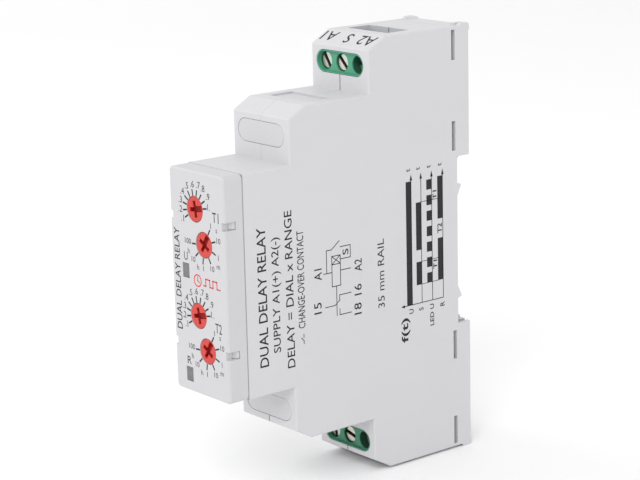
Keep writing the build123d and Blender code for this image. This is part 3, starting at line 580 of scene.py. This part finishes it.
# Dial scales: ticks and figures run round each adjuster, in degrees from the right.
TICK_FROM = 2.66
TICK_TO = 3.95
TICK_W = 0.34
FINE_START = 10.0
FINE_STEP = 22.5
FINE_LEAN = 3.0
FINE_FIGURE_H = 1.3
FINE_RADII = (4.65, 5.35, 5.3, 5.15, 4.95, 5.0, 5.0, 4.85, 4.8, 4.75)
RANGE_START = 58.0
RANGE_STEP = -39.0
RANGE_MARKS = (
    ("1", 4.8, 60.0, 1.1), ("s", 5.4, 39.5, 1.1), ("10", 5.0, 18.5, 1.1),
    ("1", 4.85, -21.5, 1.1), ("m", 5.75, -39.7, 1.1), ("10", 4.95, -60.0, 1.1),
    ("1", 4.75, -95.3, 1.1), ("h", 5.2, -114.7, 1.1), ("10", 4.95, -137.0, 1.1),
    ("h", 5.45, -159.5, 1.1), ("100", 5.25, 179.8, 1.1),
)


def print_dial_scales(front):
    """Ticks and figures around the four adjusters."""
    for dial in DIALS:
        centre = dial_centre(dial)
        fine = dial.endswith("fine")
        start, step, count = (
            (FINE_START, FINE_STEP, 10) if fine else (RANGE_START, RANGE_STEP, 7)
        )
        for i in range(count):
            angle = start + step * i
            front.line(polar(centre, TICK_FROM, angle), polar(centre, TICK_TO, angle), TICK_W)
        if fine:
            for i, radius in enumerate(FINE_RADII):
                figure = "1." if i == 0 else "." + str(10 - i)
                lean = FINE_LEAN if i < 3 else -FINE_LEAN
                spot = polar(centre, radius, FINE_START + FINE_STEP * i + lean)
                front.words(figure, spot, FINE_FIGURE_H)
        else:
            for text, radius, angle, height in RANGE_MARKS:
                front.words(text, polar(centre, radius, angle), height)


FRONT_WORDS = (
    ("T1", (5.95, 14.25), 2.0, 2.0), ("T2", (5.75, -7.75), 2.0, 2.1),
    ("U", (-4.2, 5.1), 1.65, 1.15), ("R", (-4.3, -16.15), 1.65, 1.3),
)


def print_front():
    front = Print(
        "print_front", (0, FACE_Y, 0), (1, 0, 0), (0, 0, 1), BLACK_INK, "black_plastic"
    )
    print_dial_scales(front)
    for text, place, height, length in FRONT_WORDS:
        front.words(text, place, height, length)
    front.words("DUAL DELAY RELAY", (-7.05, 0.1), 1.7, 20.6, turn=90, weight=0.015)
    front.finish()


CLOCK_CENTRE = (-0.55, 0.75)
CLOCK_R = 1.15
MARK_W = 0.26
PULSE_LOW, PULSE_HIGH = 0.1, 1.5
PULSE_CORNERS = (
    (1.3, False), (2.1, False), (2.1, True), (3.4, True), (3.4, False), (4.4, False),
    (4.4, True), (5.7, True), (5.7, False), (6.7, False),
)


def print_clock_mark():
    """A plain clock face and a pulse train, in red."""
    mark = Print(
        "print_clock_mark", (0, FACE_Y, 0), (1, 0, 0), (0, 0, 1), RED_INK, "knob_red"
    )
    mark.ring(CLOCK_CENTRE, CLOCK_R, MARK_W)
    mark.strokes([(CLOCK_CENTRE[0], 1.5), CLOCK_CENTRE, (0.0, 0.45)], 0.22)
    mark.strokes([(u, PULSE_HIGH if up else PULSE_LOW) for u, up in PULSE_CORNERS], MARK_W)
    mark.finish()


THIN = 0.17


def print_words(side, rows):
    """Rows of text, z, depth behind the front, capital height, line length, weight."""
    for text, z, depth, height, length, weight in rows:
        side.words(text, (z, -depth), height, length, weight=weight)


COIL_FRONT, COIL_BACK = 26.15, 28.35
COIL_LOW, COIL_SPLIT, COIL_HIGH = -3.62, 0.9, 2.6
COIL_LEAD_Z = -0.65
CONTACT_D = 28.0
LEAD_END = 31.0
DIAGRAM_WORDS = (
    ("A1", -0.5, 22.55, 1.9, 2.4, 0.015), ("15", -7.35, 22.35, 1.9, 2.3, 0.015),
    ("S", 3.0, 29.75, 1.5, 1.2, 0.015), ("A2", -0.35, 33.0, 1.9, 2.6, 0.015),
    ("16", -5.4, 32.85, 1.9, 2.3, 0.015), ("18", -9.35, 32.75, 1.9, 2.4, 0.015),
)


def print_contact_diagram(side):
    """Coil, control input and change-over contact with their terminal numbers.

    Corners are given as depth behind the front and z."""
    coil = [
        (COIL_FRONT, COIL_LOW), (COIL_BACK, COIL_LOW), (COIL_BACK, COIL_HIGH),
        (COIL_FRONT, COIL_HIGH), (COIL_FRONT, COIL_LOW),
    ]
    crossed_box = [
        [(COIL_FRONT, COIL_SPLIT), (COIL_BACK, COIL_SPLIT)],
        [(COIL_FRONT, COIL_SPLIT), (COIL_BACK, COIL_HIGH)],
        [(COIL_BACK, COIL_SPLIT), (COIL_FRONT, COIL_HIGH)],
    ]
    supply = [
        [(24.0, COIL_LEAD_Z), (COIL_FRONT, COIL_LEAD_Z)],
        [(COIL_BACK, -0.55), (LEAD_END, -0.55)],
    ]
    control = [
        [(24.8, COIL_LEAD_Z), (24.8, 4.0), (26.1, 4.0), (28.15, 5.5)],
        [(28.4, 4.25), (LEAD_END, 4.25), (LEAD_END, 1.75), (28.4, 1.75)],
    ]
    contact = [
        [(27.25, COIL_LOW), (27.25, -9.75)],
        [(24.3, -7.57), (26.75, -7.57), (CONTACT_D, -6.7)],
        [(CONTACT_D, -6.75), (CONTACT_D, -5.6), (LEAD_END, -5.6)],
        [(CONTACT_D, -8.5), (CONTACT_D, -9.72), (LEAD_END, -9.72)],
    ]
    for points in [coil] + crossed_box + supply + control + contact:
        side.strokes([(z, -depth) for depth, z in points], THIN)
    print_words(side, DIAGRAM_WORDS)


CHART_START, CHART_END = -11.4, 15.6
CHART_HEAD = 44.9
CHART_AXES = (47.5, 50.2, 53.15, 56.2)
LAMP_PERIOD = 3.28
CHART_BARS = (
    ((-11.4, 14.65),),
    ((-7.5, -2.6), (-0.1, 9.95)),
    tuple((LAMP_PERIOD * k - 7.45, LAMP_PERIOD * k - 5.35) for k in range(7)),
    ((-7.45, 1.55), (5.65, 14.65)),
)
CHART_BAR_H = 1.45
CHART_GUIDES = (-7.45, -2.62, 9.95)
ARROW_PAST = 0.5
ARROW_W = 0.7
CHART_WORDS = (
    ("T1", 10.85, 53.95, 1.0, 1.9, 0.03), ("T1", -3.9, 53.95, 1.0, 1.9, 0.03),
    ("T2", 3.6, 55.3, 1.2, 2.1, 0.03), ("U", -12.75, 47.2, 1.15, None, 0.02),
    ("S", -12.75, 49.95, 1.15, None, 0.02), ("LED U", -14.55, 52.95, 1.05, 4.7, 0.02),
    ("R", -12.75, 55.9, 1.2, None, 0.02), ("f(t)", -16.5, 45.6, 1.75, 5.2, 0.05),
)


def print_time_chart(side):
    """Timing chart: supply, control input, lamp and contact against time."""
    for axis, bars in zip(CHART_AXES, CHART_BARS):
        side.line((CHART_START, -axis), (CHART_END, -axis), THIN)
        side.arrow((CHART_END + ARROW_PAST, -axis), (1, 0), 1.3, ARROW_W)
        side.words("t", (CHART_END + 1.4, 0.75 - axis), 1.3, weight=0.01)
        for low, high in bars:
            side.bar(low, -axis, high, CHART_BAR_H - axis)
    side.line((CHART_START, -CHART_AXES[-1]), (CHART_START, -CHART_HEAD), THIN)
    side.arrow((CHART_START, ARROW_PAST - CHART_HEAD), (0, 1), 1.0, ARROW_W)
    for z in CHART_GUIDES:
        side.line((z, -CHART_AXES[1]), (z, -55.0), THIN * 0.7)
    print_words(side, CHART_WORDS)


SIDE_WORDS = (
    ("DUAL DELAY RELAY", -2.6, 8.6, 2.15, 28.0, 0.025),
    ("SUPPLY A1(+) A2(-)", -2.7, 12.15, 1.75, 23.2, 0.012),
    ("DELAY = DIAL x RANGE", -2.2, 15.3, 1.9, 31.8, 0.012),
    ("CHANGE-OVER CONTACT", -0.7, 18.2, 1.7, 19.8, 0.012),
    ("35 mm RAIL", -3.2, 39.05, 1.75, 14.4, 0.0),
)
SWITCH_D = 18.6


def print_side():
    """Everything printed on the right side, read from below upwards."""
    side = Print(
        "print_side", (SIDE_X, FACE_Y, 0), (0, 0, 1), (0, -1, 0), BLACK_INK, "black_plastic"
    )
    print_words(side, SIDE_WORDS)
    side.strokes([(-13.8, -SWITCH_D), (-13.2, -SWITCH_D), (-12.6, 0.6 - SWITCH_D)], THIN)
    side.strokes([(-12.6, -SWITCH_D), (-11.9, -SWITCH_D)], THIN)
    print_contact_diagram(side)
    print_time_chart(side)
    side.finish()


CHAMFER_FRONT = Vector((0, -23.8, 42.6))
CHAMFER_BACK = Vector((0, -19.3, 45.1))
NUMBER_PLACES = (-5.5, 0.0, 5.9)
NUMBER_ROWS = (("top", 1, ("A2", "S", "A1")), ("bottom", -1, ("18", "16", "15")))


def print_terminal_numbers():
    """Terminal numbers on the bevels at both ends, read from the rail side."""
    for end, sign, marks in NUMBER_ROWS:
        low, high = CHAMFER_FRONT.copy(), CHAMFER_BACK.copy()
        low.z, high.z = sign * low.z, sign * high.z
        face = Print(
            "print_terminals_" + end, (low + high) / 2, (-sign, 0, 0), low - high,
            BLACK_INK, "black_plastic",
        )
        for place, mark in zip(NUMBER_PLACES, marks):
            face.words(mark, (place, -0.3), 2.9, weight=0.02)
        face.finish()


print_front()
print_clock_mark()
print_side()
print_terminal_numbers()


# ---------------------------------------------------------------- studio
FLOOR_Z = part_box("housing_right")[0].z


def plain_material(name, colour, rough):
    f = Finish(name, Specular_IOR_Level=0.2, Roughness=rough)
    wash = f.grain(60.0, 2.0)
    f.paint("Base Color", f.blend(wash, lighter(colour, 0.995), colour))
    return f.material


SWEEP_NEAR, SWEEP_FAR = -1.2, 0.7
SWEEP_BEND, SWEEP_RISE = 0.5, 1.6
SWEEP_HALF_W = 2.5
SWEEP_STEPS = 16
SWEEP_TURN = 50.8


def studio_floor():
    """Pale paper sweep: flat under the object, curving up behind it."""
    mesh = bmesh.new()
    profile = [(SWEEP_NEAR, 0.0), (SWEEP_FAR, 0.0)]
    for i in range(1, SWEEP_STEPS + 1):
        angle = math.pi / 2 * i / SWEEP_STEPS
        out, up = SWEEP_BEND * math.sin(angle), SWEEP_BEND * (1 - math.cos(angle))
        profile.append((SWEEP_FAR + out, up))
    profile.append((SWEEP_FAR + SWEEP_BEND, SWEEP_RISE))
    rows = []
    for x in (-SWEEP_HALF_W, SWEEP_HALF_W):
        rows.append([mesh.verts.new((x, y, FLOOR_Z + z)) for y, z in profile])
    for i in range(len(profile) - 1):
        mesh.faces.new((rows[0][i], rows[1][i], rows[1][i + 1], rows[0][i + 1]))
    data = bpy.data.meshes.new("paper_sweep")
    mesh.to_mesh(data)
    mesh.free()
    for face in data.polygons:
        face.use_smooth = True
    data.materials.append(plain_material("white paper", (0.93, 0.93, 0.93), 0.9))
    sweep = bpy.data.objects.new("paper_sweep", data)
    sweep.rotation_euler.z = math.radians(SWEEP_TURN)
    bpy.context.scene.collection.objects.link(sweep)


LIGHT_AIM = Vector((0, -0.028, 0))


def soft_light(name, at, size, power):
    """A round softbox that faces the middle of the case."""
    light = bpy.data.lights.new(name, "AREA")
    light.shape = "DISK"
    light.size = size
    light.energy = power
    lamp = bpy.data.objects.new(name, light)
    lamp.location = at
    lamp.rotation_euler = (LIGHT_AIM - Vector(at)).to_track_quat("-Z", "Y").to_euler()
    bpy.context.scene.collection.objects.link(lamp)


def even_sky(strength):
    world = bpy.data.worlds.new("white room")
    world.use_nodes = True
    background = world.node_tree.nodes["Background"]
    background.inputs["Color"].default_value = (1, 1, 1, 1)
    background.inputs["Strength"].default_value = strength
    bpy.context.scene.world = world


AZIMUTH, ELEVATION, ROLL = 50.83, 13.49, -1.37
DISTANCE = 418.7
AIM = Vector((0, -28.4, 0))
AIM_SHIFT = (1.29, -3.41)
LENS, SENSOR_W = 115.5375, 36.0


def camera():
    """Long lens on the front right, slightly above the case."""
    a, e, r = (math.radians(v) for v in (AZIMUTH, ELEVATION, ROLL))
    back = Vector((math.sin(a) * math.cos(e), -math.cos(a) * math.cos(e), math.sin(e)))
    level = (-back).cross(Vector((0, 0, 1))).normalized()
    above = level.cross(-back)
    right = level * math.cos(r) + above * math.sin(r)
    up = above * math.cos(r) - level * math.sin(r)
    at = AIM - right * AIM_SHIFT[0] - up * AIM_SHIFT[1] + back * DISTANCE
    data = bpy.data.cameras.new("camera")
    data.sensor_width = SENSOR_W
    data.lens = LENS
    data.clip_start = 0.01
    data.clip_end = 20.0
    holder = bpy.data.objects.new("camera", data)
    holder.matrix_world = Matrix.Translation(at * MM) @ Matrix(
        (right, up, back)
    ).transposed().to_4x4()
    bpy.context.scene.collection.objects.link(holder)
    bpy.context.scene.camera = holder


studio_floor()
even_sky(0.92)
soft_light("key softbox", (0.55, -0.75, 0.75), 0.6, 4.0)
soft_light("fill softbox", (-0.8, -0.5, 0.5), 0.7, 2.0)
bpy.context.scene.view_settings.view_transform = "Standard"
camera()
